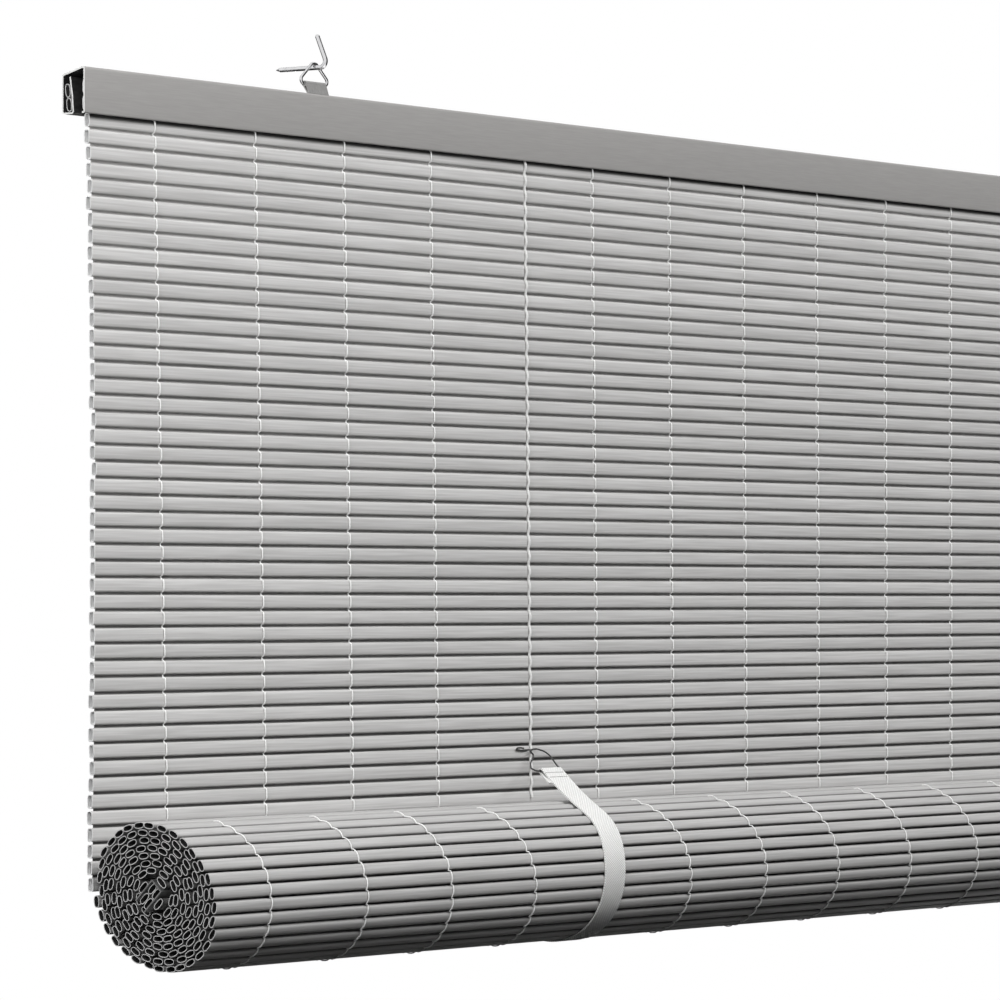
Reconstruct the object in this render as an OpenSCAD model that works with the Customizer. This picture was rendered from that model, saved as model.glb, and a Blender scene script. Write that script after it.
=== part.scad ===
// Roll-up blind of oval plastic tubes, hung by two hooks and half rolled up.
// X runs along the slats, Y runs into the wall, Z is up.
// The origin lies midway between the two hook shanks, on the wall's face.

/* [Mat] */
// Length of the slat tubes, which is the width of the mat
mat_w = 1800; // [900:10:2400]
// Height of one oval slat tube
slat_h = 8.4; // [6:0.1:12]
// Thickness of one oval slat tube
slat_t = 4; // [3:0.1:6]
// Wall of a slat tube
slat_wall = 0.5; // [0.4:0.05:0.8]
// Thickness of the thread-bound web between two slats
web_t = 0.8; // [0.5:0.1:1.2]
// Space between two slats where the mat hangs
hang_gap = 1.6; // [0.5:0.1:3]
// Number of slats that hang below the head rail
hang_slats = 47; // [20:1:120]
// Number of slats inside the head rail
rail_slats = 2; // [1:1:3]

/* [Roll] */
// Space between two slats in the roll
roll_gap = 0.2; // [0.1:0.1:1]
// Space between two turns of the roll
turn_gap = 0.55; // [0.3:0.05:1.5]
// Number of half turns in the roll
half_turns = 15; // [7:2:25]
// Sheet of the bottom channel in the core
channel_sheet = 0.8; // [0.5:0.1:1.5]
// Tilt of the bottom channel
channel_tilt = -45; // [-90:5:90]

/* [Head rail] */
// Height of the front wall
rail_h = 28.5; // [24:0.5:50]
// Sheet of the head rail
rail_sheet = 1; // [0.6:0.1:1.5]
// Drop of the top from front to rear
rail_slope = 4.6; // [1:0.1:8]
// How far the rail reaches past the mat at each end
rail_over = 12; // [2:1:40]
// Space between the front wall and the mat
front_gap = 2; // [0.5:0.1:6]
// Depth of the rear pocket at its floor
pocket_d = 7.2; // [4.6:0.1:10]
// Depth of the rear pocket at the divider's top
pocket_top_d = 4.7; // [4.6:0.1:9]
// Space between the rail and the wall
wall_gap = 1.5; // [0.5:0.1:10]
// Space above the divider
divider_gap = 1.5; // [1:0.5:12]

/* [Hangers] */
// Distance from the mat's end to a hanger
hanger_inset = 224; // [60:1:400]
// Width of a hanger
hanger_w = 21; // [14:0.5:30]
// Sheet of a hanger
hanger_sheet = 0.8; // [0.5:0.1:1.2]
// Height of the knuckle's axis above the rail's front edge
knuckle_h = 6.1; // [5:0.1:12]
// Length of the flange on the rail's top
flange_l = 9.5; // [8:0.1:12]
// Diameter of a rivet's shank
rivet_d = 3; // [2:0.1:4]
// Diameter of the bail wire
bail_d = 2; // [1.5:0.1:3]
// Radius of the bail's top bend, at the middle of the wire
bail_top_r = 3; // [2.8:0.1:6]
// Length of the bail's straight top
bail_flat = 2; // [1:0.5:6]
// Radius of the bail's lower bends, at the middle of the wire
bail_low_r = 2.5; // [1.5:0.1:4]
// Diameter of the hook wire
hook_d = 3; // [2:0.1:3.4]
// Diameter of the screw behind the wall's face
hook_screw_d = 2.5; // [1.5:0.1:3.4]
// Length of the screw behind the wall's face
hook_in_wall = 16; // [8:1:40]
// Length of the screw's point
hook_point = 3; // [1:0.5:5]
// Distance from the bail to the hook's arm
hook_reach = 9; // [8:0.5:20]
// Radius of the hook's bend, at the middle of the wire
hook_bend_r = 4; // [3:0.5:6]
// Height of the hook's arm above the shank
hook_arm_h = 21; // [12:1:40]
// Lean of the hook's arm towards the wall
hook_lean = 23; // [0:1:30]

/* [Straps] */
// Distance from the mat's end to a thick cord
cord_inset = 461; // [200:1:700]
// Diameter of a thick cord
cord_d = 1.8; // [1:0.1:3]
// How far outboard of its cord a strap lies
strap_out = 20; // [0:1:40]
// Width of the webbing
strap_w = 23; // [15:1:40]
// Thickness of the webbing
strap_t = 0.9; // [0.6:0.1:1.5]
// Length of the sewn fold at the strap's end
strap_fold = 14; // [8:1:30]
// Height of the strap's end above the roll's axis
strap_end_z = 64; // [56:1:90]
// Distance of the strap's end in front of the mat
strap_end_y = 31; // [15:1:45]
// Diameter of the link wire
link_d = 1.4; // [1:0.1:2]
// Groove above the roll's axis that the link hooks into
link_groove = 8; // [6:1:12]
// Length of the link's tip past the cord
link_tip = 15; // [6:1:25]

/* [Hidden] */
$fn = 64;

seat = 0.2;
running = 0.06;
touch = 0.08;
face_gap = 0.02;

// The bends of a wire are a little fatter than the wire, which runs a little into them
swell = 1.03;
into = 0.3;

hang_pitch = slat_h + hang_gap;
roll_pitch = slat_h + roll_gap;
turn_pitch = slat_t + turn_gap;

// Section of the head rail, from the wall outwards
rail_rear = -wall_gap;
pocket_rear = rail_rear - rail_sheet;
divider_rear = pocket_rear - pocket_d;
divider_front = divider_rear - rail_sheet;
divider_top_y = pocket_rear - pocket_top_d;
strap_y = divider_front - seat - strap_t / 2;
mat_y = strap_y - strap_t / 2 - seat - slat_t / 2;
mat_front = mat_y - slat_t / 2;
rail_front = mat_front - front_gap - rail_sheet;

// Heights, from the bail's seat on the hook downwards
hook_r = hook_d / 2;
bail_r = bail_d / 2;
bail_top_z = hook_r + touch + bail_r;
knuckle_drop = 13.25;
knuckle_z = bail_top_z - knuckle_drop;
rail_top = knuckle_z - knuckle_h;
rail_bottom = rail_top - rail_h;
divider_top_z = rail_top - rail_slope - divider_gap;
top_slope = rail_slope / (rail_rear - rail_front - rail_sheet);
slope_angle = atan(top_slope);
tuck = 1;
first_z = rail_bottom + tuck - slat_h / 2;
axis_z = first_z - (hang_slats - 1) * hang_pitch - hang_pitch / 2 - roll_gap;

// The bottom channel holds two slats side by side, twice
channel_in_t = 2 * slat_t + 3 * seat;
channel_in_h = 2 * slat_h + 3 * seat;
channel_t = channel_in_t + 2 * channel_sheet;
channel_h = channel_in_h + channel_sheet;
core_clear = 0.4;
core_r = norm([channel_t, channel_h]) / 2 + slat_t / 2 + core_clear;

// The roll is a two-centre spiral: each half turn is an arc
roll_r = core_r + (half_turns - 1) * turn_pitch / 2;
roll_y = mat_y - roll_r;

hanger_x = mat_w / 2 - hanger_inset;
cord_x = mat_w / 2 - cord_inset;
strap_x = cord_x + strap_out;
rail_l = mat_w + 2 * rail_over;

hanger_colour = "silver";
slat_colour = [0.72, 0.72, 0.72];
rail_colour = [0.55, 0.55, 0.55];
strap_colour = [0.9, 0.9, 0.88];

function unit(v) = v / norm(v);
function left_normal(a, b) = let (d = unit(b - a)) [-d.y, d.x];
function miter(p, i) =
    let (last = len(p) - 1)
    i == 0 ? left_normal(p[0], p[1]) :
    i == last ? left_normal(p[last - 1], p[last]) :
    let (n = left_normal(p[i - 1], p[i]), m = unit(n + left_normal(p[i], p[i + 1])))
    m / (m * n);

// Outline of a sheet of thickness t along the path p
function band(p, t) = concat(
    [for (i = [0 : len(p) - 1]) p[i] + miter(p, i) * t / 2],
    [for (i = [len(p) - 1 : -1 : 0]) p[i] - miter(p, i) * t / 2]);

// A point of the roll at angle a, from its back down and round, offset outwards
function half_turn(a) = floor(a / 180);
function turn_r(a) = roll_r - half_turn(a) * turn_pitch / 2;
function turn_y(a) = roll_y - (half_turn(a) % 2) * turn_pitch / 2;
function roll_point(a, off) =
    [turn_y(a) + (turn_r(a) + off) * cos(a), axis_z - (turn_r(a) + off) * sin(a)];
function next_slat(a) =
    let (r = turn_r(a), b = a + 2 * asin(roll_pitch / 2 / r), edge = 180 * (half_turn(a) + 1))
    b <= edge ? b : edge + (b - edge) * r / (r - turn_pitch / 2);

// A slat's place: its centre, the direction along the mat and the direction outwards
function hung_slat(i) = [[mat_y, first_z - (i - rail_slats) * hang_pitch], [0, -1], [1, 0]];
function rolled_slat(a) = [roll_point(a, 0), [-sin(a), -cos(a)], [cos(a), -sin(a)]];

// Half of a slat's outline in shares of its half height and half thickness, and its bore
slat_side = [[-1, web_t / slat_t], [-0.55, 1], [0.55, 1], [1, web_t / slat_t]];
slat_bore = [[-1, 0], [-0.5, 1], [0.5, 1], [1, 0], [0.5, -1], [-0.5, -1]];
function place(s, u, v) = s[0] + s[1] * u + s[2] * v;
function slat_edge(s, side) =
    [for (p = slat_side) place(s, p.x * slat_h / 2, side * p.y * slat_t / 2)];
function turned(list) = [for (i = [len(list) - 1 : -1 : 0]) list[i]];
function flat(lists) = [for (l = lists) each l];
function mat_outline(slats) = concat(
    flat([for (s = slats) slat_edge(s, 1)]),
    turned(flat([for (s = slats) slat_edge(s, -1)])));
function bore_outline(s) = [for (p = slat_bore)
    place(s, p.x * (slat_h / 2 - slat_wall), p.y * (slat_t / 2 - slat_wall))];

hung = [for (i = [0 : hang_slats + rail_slats - 1]) hung_slat(i)];
first_roll_a = asin((hang_pitch / 2) / roll_r);
rolled = [for (a = first_roll_a; a < 180 * half_turns; a = next_slat(a)) rolled_slat(a)];

// A section drawn in Y and Z, made a length along X
module along_x(length) {
    rotate([90, 0, 90]) linear_extrude(length, center = true) children();
}

module both_sides(side, x) {
    translate([side * x, 0, 0]) children();
}

module mat(slats) {
    along_x(mat_w) difference() {
        polygon(mat_outline(slats));
        for (s = slats) polygon(bore_outline(s));
    }
}

module loose_slat(s, length) {
    along_x(length) difference() {
        polygon(mat_outline([s]));
        polygon(bore_outline(s));
    }
}

module hanging_mat() { color(slat_colour) mat(hung); }
module rolled_mat() { color(slat_colour) mat(rolled); }

// A round rod from p to q, longer by extra at each end
module rod(p, q, d, extra = 0) {
    v = q - p;
    translate(p) rotate([0, acos(v.z / norm(v)), atan2(v.y, v.x)]) translate([0, 0, -extra])
        cylinder(d = d, h = norm(v) + 2 * extra);
}

// A straight run of thin wire with round ends
module wire_run(p, q, d) {
    hull() {
        translate(p) sphere(d = d, $fn = 16);
        translate(q) sphere(d = d, $fn = 16);
    }
}

// A bent stretch of wire in the plane of X and Y, from one angle to another
module bend(r, d, from, to) {
    rotate([0, 0, from]) rotate_extrude(angle = to - from) translate([r, 0]) circle(d = d * swell);
}

// The head rail: front wall, top, rear wall, pocket floor and divider in one folded sheet
module headrail() {
    half = rail_sheet / 2;
    fold = [[rail_front + half, rail_bottom],
            [rail_front + half, rail_top - half],
            [rail_rear - half, rail_top - rail_slope - half],
            [rail_rear - half, rail_bottom + half],
            [divider_rear - half, rail_bottom + half],
            [divider_top_y - half, divider_top_z]];
    color(rail_colour) difference() {
        along_x(rail_l) polygon(band(fold, rail_sheet));
        for (side = [-1, 1]) rivet_place(side) cylinder(d = rivet_d, h = 4 * rail_sheet, center = true);
    }
}

// Two slats wedged one above the other in the rail's pocket, along the leaning divider
divider_foot = [divider_rear, rail_bottom + rail_sheet];
divider_up = unit([divider_top_y, divider_top_z] - divider_foot);
divider_back = [divider_up.y, -divider_up.x];
module clamp_slat(i) {
    rise = seat + slat_t * divider_up.x / divider_up.y + slat_h / 2 + i * (slat_h + seat);
    middle = divider_foot + divider_up * rise + divider_back * (seat + slat_t / 2);
    color(slat_colour) loose_slat([middle, -divider_up, divider_back], rail_l);
}
module clamp_slat_lower() { clamp_slat(0); }
module clamp_slat_upper() { clamp_slat(1); }

// The flange lies on the rail's sloping top, behind the knuckle's fold
knuckle_y = mat_y;
fold_y = knuckle_y - 3.4;
function top_z(y) = rail_top - rail_sheet / 2 * (1 - 1 / cos(slope_angle))
    - (y - rail_front - rail_sheet / 2) * top_slope;
knuckle_bore = bail_r + running;
knuckle_r = knuckle_bore + hanger_sheet;

// Moves a shape to the rivet's hole, with Z along the rivet and zero on the rail's top
module rivet_place(side) {
    y = fold_y + flange_l / 2 + hanger_sheet;
    translate([side * hanger_x, y, top_z(y)]) rotate([-slope_angle, 0, 0]) children();
}

module hanger(side) {
    lift = hanger_sheet / 2 / cos(slope_angle) + face_gap;
    fold = [fold_y, top_z(fold_y) + lift];
    tail = [fold_y + flange_l, top_z(fold_y + flange_l) + lift];
    wall_r = (knuckle_bore + knuckle_r) / 2;
    front_leg = [tail, fold, [knuckle_y - wall_r, knuckle_z]];
    rear_leg = [fold + [hanger_sheet, 0], [knuckle_y + wall_r, knuckle_z]];
    color(hanger_colour) difference() {
        both_sides(side, hanger_x) {
            along_x(hanger_w) polygon(band(front_leg, hanger_sheet));
            along_x(hanger_w) polygon(band(rear_leg, hanger_sheet));
            along_x(hanger_w) translate([knuckle_y, knuckle_z]) circle(r = knuckle_r);
        }
        both_sides(side, hanger_x) along_x(hanger_w + 1)
            translate([knuckle_y, knuckle_z]) circle(r = knuckle_bore);
        rivet_place(side) cylinder(d = rivet_d, h = 4 * rail_sheet, center = true);
    }
}
module hanger_left() { hanger(-1); }
module hanger_right() { hanger(1); }

// A blind rivet: a low head on the flange, a shank and a flared tail under the rail's top
rivet_head_d = 2 * rivet_d;
rivet_head_h = 0.9;
module hanger_rivets() {
    grip = rail_sheet + hanger_sheet + face_gap;
    color("gainsboro") for (side = [-1, 1]) rivet_place(side) {
        translate([0, 0, hanger_sheet + face_gap]) cylinder(d1 = rivet_head_d, d2 = rivet_d, h = rivet_head_h);
        translate([0, 0, -rail_sheet]) cylinder(d = rivet_d, h = grip);
        translate([0, 0, -rail_sheet - rivet_head_h]) cylinder(d = 1.5 * rivet_d, h = rivet_head_h);
    }
}

// The bail: a straight base in the knuckle, two legs and a short straight top over the hook
bail_half = hanger_w / 2 + 0.6;
module bail(side) {
    top = [bail_flat / 2, bail_top_z - bail_top_r];
    low = [bail_half, knuckle_z + bail_low_r];
    d = low - top;
    lean = atan2(d.y, d.x) + acos((bail_top_r - bail_low_r) / norm(d));
    n = [cos(lean), sin(lean)];
    leg_top = top + n * bail_top_r;
    leg_low = low + n * bail_low_r;
    color("silver") translate([side * hanger_x, knuckle_y, 0]) {
        rod([-bail_half, 0, knuckle_z], [bail_half, 0, knuckle_z], bail_d, into);
        rod([-top.x, 0, bail_top_z], [top.x, 0, bail_top_z], bail_d, into);
        for (m = [0, 1]) mirror([m, 0, 0]) {
            rod([leg_top.x, 0, leg_top.y], [leg_low.x, 0, leg_low.y], bail_d, into);
            translate([low.x, 0, low.y]) rotate([90, 0, 0]) bend(bail_low_r, bail_d, -90, lean);
            translate([top.x, 0, top.y]) rotate([90, 0, 0]) bend(bail_top_r, bail_d, lean, 90);
        }
    }
}
module bail_left() { bail(-1); }
module bail_right() { bail(1); }

// The hook: a pointed screw in the wall, a shank along Y, a bend and an arm that leans back
module wall_hook(side) {
    bend_y = knuckle_y - hook_reach + hook_bend_r;
    turn = 90 + hook_lean;
    arm_foot = [bend_y - hook_bend_r * sin(turn), hook_bend_r - hook_bend_r * cos(turn)];
    arm_l = (hook_arm_h - hook_r - arm_foot.y) / cos(hook_lean);
    arm_top = arm_foot + arm_l * [sin(hook_lean), cos(hook_lean)];
    color("silver") translate([side * hanger_x, 0, 0]) {
        rod([0, bend_y, 0], [0, -into, 0], hook_d, into);
        rod([0, -hook_r, 0], [0, hook_in_wall - hook_point, 0], hook_screw_d);
        translate([0, hook_in_wall - hook_point, 0]) rotate([-90, 0, 0])
            cylinder(d1 = hook_screw_d, d2 = hook_screw_d / 4, h = hook_point);
        translate([0, bend_y, hook_bend_r]) rotate([90, 0, -90])
            bend(hook_bend_r, hook_d, -90, hook_lean);
        rod([0, arm_foot.x, arm_foot.y], [0, arm_top.x, arm_top.y], hook_d, into);
        translate([0, arm_top.x, arm_top.y]) sphere(d = hook_d * swell);
    }
}
module wall_hook_left() { wall_hook(-1); }
module wall_hook_right() { wall_hook(1); }

// The bottom channel and its slats lie in the core, tilted
module in_core() {
    translate([turn_y(180 * (half_turns - 1)), axis_z]) rotate(channel_tilt) children();
}

module bottom_channel() {
    y = channel_in_t / 2 + channel_sheet / 2;
    back = -channel_h / 2 + channel_sheet / 2;
    mouth = channel_h / 2;
    color("gainsboro") along_x(mat_w) in_core()
        polygon(band([[mouth, y], [back, y], [back, -y], [mouth, -y]], channel_sheet));
}

module bottom_slats() {
    row = (slat_h + seat) / 2;
    layer = (slat_t + seat) / 2;
    floor_u = channel_sheet / 2;
    color(slat_colour) along_x(mat_w) in_core()
        for (u = [-row, row], v = [-layer, layer]) difference() {
            s = [[floor_u + u, v], [1, 0], [0, 1]];
            polygon(mat_outline([s]));
            polygon(bore_outline(s));
        }
}

// The strap hangs behind the mat, slings the roll and rises to the link
link_r = link_d / 2;
strap_off = strap_y - mat_y;
strap_end = [mat_y - strap_end_y, axis_z + strap_end_z];
second_c = [roll_y - turn_pitch / 2, axis_z];
second_r = roll_r - turn_pitch / 2 + strap_off;
to_end = strap_end - second_c;
leave_a = 360 - (atan2(to_end.y, to_end.x) + acos(second_r / norm(to_end)));
leave_steps = 9;
sling_steps = 24;
strap_path = concat(
    [[strap_y, divider_top_z]],
    [for (i = [0 : sling_steps - 1]) roll_point(i * 180 / sling_steps, strap_off)],
    [for (i = [0 : leave_steps]) roll_point(180 + i * (leave_a - 180) / leave_steps, strap_off)],
    [strap_end]);
loop_bore = link_r + seat;
loop_r = loop_bore + strap_t;

module strap(side) {
    leave = strap_path[len(strap_path) - 2];
    d = unit(strap_end - leave);
    out = [-d.y, d.x];
    fold = [strap_end - d * strap_fold, strap_end - d * loop_bore];
    side_step = -out * strap_t;
    color(strap_colour) both_sides(side, strap_x) difference() {
        union() {
            along_x(strap_w) polygon(band(strap_path, strap_t));
            along_x(strap_w) polygon(band([fold[0] + side_step, fold[1] + side_step], strap_t));
            along_x(strap_w) translate(strap_end) circle(r = loop_r);
        }
        along_x(strap_w + 1) translate(strap_end) circle(r = loop_bore);
    }
}
module strap_left() { strap(-1); }
module strap_right() { strap(1); }

// The link: a bar in the strap's loop, two legs to the cord and a hairpin tip behind it
link_z = axis_z + hang_pitch / 2 + roll_gap + slat_h / 2 + hang_gap / 2
         + (link_groove - 1) * hang_pitch;
cord_y = mat_front - cord_d / 2;
link_y = mat_front + link_r;
module strap_link(side) {
    function outboard(x, y, z) = [side * (cord_x + x), y, z];
    half_bar = strap_w / 2 + loop_r + link_d;
    clear_x = cord_d / 2 + link_d;
    front_y = cord_y - cord_d / 2 - link_d;
    bar_in = outboard(strap_out - half_bar, strap_end.x, strap_end.y);
    bar_out = outboard(strap_out + half_bar, strap_end.x, strap_end.y);
    front_in = outboard(-clear_x, front_y, link_z);
    front_out = outboard(clear_x, front_y, link_z);
    behind = outboard(-clear_x, link_y, link_z);
    tip = outboard(clear_x + link_tip, link_y, link_z);
    tip_front = outboard(clear_x + link_tip, mat_front - link_d, link_z);
    tip_end = outboard(clear_x + link_tip / 2, mat_front - link_d, link_z);
    path = [front_in, front_out, bar_out, bar_in, front_in, behind, tip, tip_front, tip_end];
    color([0.3, 0.3, 0.3])
        for (i = [1 : len(path) - 1]) wire_run(path[i - 1], path[i], link_d);
}
module strap_link_left() { strap_link(-1); }
module strap_link_right() { strap_link(1); }

// A thick cord down the front of the mat, from inside the rail to the roll
module hook_cord(side) {
    top = rail_bottom + rail_h / 3;
    low = axis_z + roll_r;
    color("white") both_sides(side, cord_x)
        rod([0, cord_y, low], [0, cord_y, top], cord_d);
}
module hook_cord_left() { hook_cord(-1); }
module hook_cord_right() { hook_cord(1); }

wall_hook_left();
wall_hook_right();
bail_left();
bail_right();
hanger_left();
hanger_right();
hanger_rivets();
headrail();
clamp_slat_upper();
clamp_slat_lower();
hanging_mat();
rolled_mat();
bottom_channel();
bottom_slats();
strap_left();
strap_right();
strap_link_left();
strap_link_right();
hook_cord_left();
hook_cord_right();
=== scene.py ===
# %% [markdown]
# # A roll-up blind of oval tubes
# A roll-up blind is a mat of hollow plastic tubes, tied side by side with thread. It hangs
# from a metal rail, and two straps sling the part that is rolled up. The solids give every
# size and place. This lesson dresses them: hollow tubes, twined threads, woven webbing and
# bent wire, each with its own finish. The solids are loaded first, and the boxes of their
# parts are read from them, because the dressed blind has to stay in them.

# %% Load the solids
import math
import random

import bpy
from mathutils import Matrix, Vector


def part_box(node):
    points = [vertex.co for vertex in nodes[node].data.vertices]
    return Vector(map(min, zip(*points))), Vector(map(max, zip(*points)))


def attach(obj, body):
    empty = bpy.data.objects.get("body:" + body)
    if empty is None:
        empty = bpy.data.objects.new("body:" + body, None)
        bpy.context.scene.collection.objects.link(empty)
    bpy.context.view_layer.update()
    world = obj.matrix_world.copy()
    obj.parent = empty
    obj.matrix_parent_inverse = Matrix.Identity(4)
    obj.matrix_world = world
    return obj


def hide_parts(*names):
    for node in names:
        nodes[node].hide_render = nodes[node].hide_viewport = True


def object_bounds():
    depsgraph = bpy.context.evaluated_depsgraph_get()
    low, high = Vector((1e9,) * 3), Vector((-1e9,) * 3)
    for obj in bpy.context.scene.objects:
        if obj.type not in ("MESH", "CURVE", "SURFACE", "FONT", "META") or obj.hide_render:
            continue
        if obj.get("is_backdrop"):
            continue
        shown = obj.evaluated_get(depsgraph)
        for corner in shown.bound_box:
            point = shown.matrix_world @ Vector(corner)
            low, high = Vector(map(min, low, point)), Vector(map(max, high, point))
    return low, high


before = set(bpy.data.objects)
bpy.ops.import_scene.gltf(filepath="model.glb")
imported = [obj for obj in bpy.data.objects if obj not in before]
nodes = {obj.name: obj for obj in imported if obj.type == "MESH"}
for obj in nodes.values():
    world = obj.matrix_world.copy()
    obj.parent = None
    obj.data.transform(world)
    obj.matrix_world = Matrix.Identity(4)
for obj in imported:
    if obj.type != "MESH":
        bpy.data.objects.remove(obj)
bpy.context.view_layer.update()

scene = bpy.context.scene
scene.view_settings.view_transform = "Standard"
mm = 0.001

# %% [markdown]
# ## Camera
# The photo looks at the front of the blind from far to the left, a little below the rail,
# through a long lens. A constraint could aim the camera, but two angles are easier to
# read: a photographer levels the camera, so it only turns and tips, and does not roll.

# %% Camera
camera_place = (-3.6042, -2.2082, -0.3378)
turn_right, tip_up = math.radians(55), math.radians(1.0)
sensor_mm, focal_widths = 36, 5.778


def look_along(obj, way):
    """Turns a camera or a lamp so that it looks along a direction, with its top up."""
    obj.rotation_euler = way.to_track_quat("-Z", "Y").to_euler()


bpy.ops.object.select_all(action="DESELECT")
bpy.ops.object.camera_add(location=camera_place)
camera = bpy.context.object
camera.name = "photo_camera"
camera.data.sensor_width = sensor_mm
camera.data.lens = sensor_mm * focal_widths
camera.data.clip_end = 60
level = math.cos(tip_up)
way = Vector((math.sin(turn_right) * level, math.cos(turn_right) * level, math.sin(tip_up)))
look_along(camera, way)
scene.camera = camera
print("camera:", [round(v, 3) for v in camera.location])

# %% [markdown]
# ## Light
# Soft studio light falls from the front and above, so that the top of the roll is bright
# and its underside is dark. A lamp at each side and a small one near the left end light
# the cut ends of the tubes, and one behind lights the back. Sun lamps throw hard shadows,
# so these are area lamps. The camera and reflections don't see them, or they would burn
# out the chrome.

# %% Lamps
def soft_lamp(name, place, target, size, watts):
    """A square lamp, size metres wide, that faces its target."""
    bpy.ops.object.light_add(type="AREA", location=place)
    lamp = bpy.context.object
    lamp.name = name
    lamp.data.size = size
    lamp.data.energy = watts
    lamp.visible_camera = lamp.visible_glossy = False
    look_along(lamp, Vector(target) - Vector(place))
    print(name, watts, "W")


panel_front, panel_back = (-0.3, -0.03, -0.3), (0, 0, -0.3)
right_end, left_end = (0.9, -0.05, -0.4), (-0.9, -0.05, -0.4)
left_edge = (-0.9, -0.014, -0.2)
soft_lamp("key_softbox", (-0.2, -2.5, 2.4), panel_front, 1.5, 140)
soft_lamp("back_softbox", (0.9, 3.2, 1.6), panel_back, 2.0, 115)
soft_lamp("right_softbox", (3.6, -0.9, 0.5), right_end, 1.6, 48)
soft_lamp("side_softbox", (-3.8, -0.6, 0.5), left_end, 1.6, 60)
soft_lamp("end_softbox", (-1.7, -0.6, 0.15), left_edge, 0.5, 4.5)

# %% [markdown]
# ## World
# The camera and reflections see a plain white world. It gives the white background, and
# something for the metal to mirror. A picture of a studio could do the same, but nodes
# need no file. To everything else the world is a weak fill, stronger from above than from
# below. The Light Path node tells the two kinds of rays apart.

# %% World
fill_strength, fill_low, fill_high = 0.22, -0.1, 0.9
white = (1, 1, 1, 1)


def math_node(tree, operation, *values):
    """The result of a Math node on its values, each a number or the output of a node."""
    node = tree.nodes.new("ShaderNodeMath")
    node.operation = operation
    for socket, value in zip(node.inputs, values):
        if isinstance(value, (int, float)):
            socket.default_value = value
        else:
            tree.links.new(value, socket)
    return node.outputs[0]


def seen_rays(tree):
    """1 for what is seen directly, in a reflection or through glass, and 0 for soft light."""
    rays = tree.nodes.new("ShaderNodeLightPath")
    seen = math_node(
        tree, "MAXIMUM", rays.outputs["Is Camera Ray"], rays.outputs["Is Glossy Ray"])
    return math_node(tree, "MAXIMUM", seen, rays.outputs["Is Transmission Ray"])


world = bpy.data.worlds.new("white_studio")
scene.world = world
world.use_nodes = True
tree = world.node_tree
tree.nodes.clear()
direction = tree.nodes.new("ShaderNodeTexCoord")
split = tree.nodes.new("ShaderNodeSeparateXYZ")
tree.links.new(direction.outputs["Generated"], split.inputs[0])
rise = tree.nodes.new("ShaderNodeMapRange")
rise.inputs["From Min"].default_value = fill_low
rise.inputs["From Max"].default_value = fill_high
rise.inputs["To Min"].default_value = 0.0
rise.inputs["To Max"].default_value = fill_strength
tree.links.new(split.outputs["Z"], rise.inputs["Value"])
fill = tree.nodes.new("ShaderNodeBackground")
fill.inputs["Color"].default_value = white
tree.links.new(rise.outputs["Result"], fill.inputs["Strength"])
backdrop = tree.nodes.new("ShaderNodeBackground")
backdrop.inputs["Color"].default_value = white
either = tree.nodes.new("ShaderNodeMixShader")
tree.links.new(seen_rays(tree), either.inputs[0])
tree.links.new(fill.outputs[0], either.inputs[1])
tree.links.new(backdrop.outputs[0], either.inputs[2])
sky = tree.nodes.new("ShaderNodeOutputWorld")
tree.links.new(either.outputs[0], sky.inputs["Surface"])
print("world:", len(tree.nodes), "nodes, fill", fill_strength)

# %% [markdown]
# ## Floor
# The blind hangs high on a wall, so the floor lies where a room's floor would be, well
# below it. It is one pale plane, which glows a little to the camera and in reflections, so
# that it joins the white background. It throws no light back up, because the underside of
# the roll is dark.

# %% Floor
floor_size, floor_place = 16, (0, -1, -1.9)
floor_grey, floor_glow = (0.6, 0.6, 0.6, 1), 0.6


def new_finish(name, rough, metal=0.0):
    """A material, its node tree and its shader, with the roughness and metal share set."""
    finish = bpy.data.materials.new(name)
    finish.use_nodes = True
    shader = finish.node_tree.nodes["Principled BSDF"]
    shader.inputs["Roughness"].default_value = rough
    shader.inputs["Metallic"].default_value = metal
    return finish, finish.node_tree, shader


bpy.ops.mesh.primitive_plane_add(size=floor_size, location=floor_place)
floor = bpy.context.object
floor.name = "studio_floor"
floor.visible_diffuse = False
floor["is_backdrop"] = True
floor_paint, tree, shader = new_finish("floor_paint", 0.9)
shader.inputs["Base Color"].default_value = floor_grey
shader.inputs["Emission Color"].default_value = white
glow = math_node(tree, "MULTIPLY", seen_rays(tree), floor_glow)
tree.links.new(glow, shader.inputs["Emission Strength"])
floor.data.materials.append(floor_paint)
print("floor at", floor_place[2])

# %% [markdown]
# ## Black cards
# Chrome on white vanishes, so a photographer stands black cards beside it, and the wire
# mirrors them as dark lines. A darker chrome would look grey all over instead. Only
# reflections see these cards: the camera and the soft light pass them by.

# %% Black cards
left_hook = Vector((-0.676, -0.014, 0))
cards = (
    ("card_below", (-0.5, 0.9, -1.0), 3.6),
    ("card_right", (0.45, -1.4, 0), 3.8),
    ("card_behind", (0.127, 1.133, 0.01), 2.0),
)
card_paint, tree, shader = new_finish("card_black", 0.5)
shader.inputs["Base Color"].default_value = (0.01, 0.01, 0.01, 1)
for name, place, size in cards:
    facing = (left_hook - Vector(place)).to_track_quat("Z", "Y").to_euler()
    bpy.ops.mesh.primitive_plane_add(size=size, location=place, rotation=facing)
    card = bpy.context.object
    card.name = name
    card.data.materials.append(card_paint)
    card.visible_camera = card.visible_diffuse = False
    card.visible_shadow = card.visible_transmission = False
    card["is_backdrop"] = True
    print(name, size, "m wide")

# %% [markdown]
# ## Sizes of the mat
# The mat repeats the sizes of the solids, and its place and width are read from their
# boxes. It hangs straight from the rail, and then winds into a roll round the channel at
# its bottom end. A true spiral would do for that, but half turns, each an arc of its own
# radius, are what the solids have, so the tubes land where the solid's tubes are.

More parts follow.
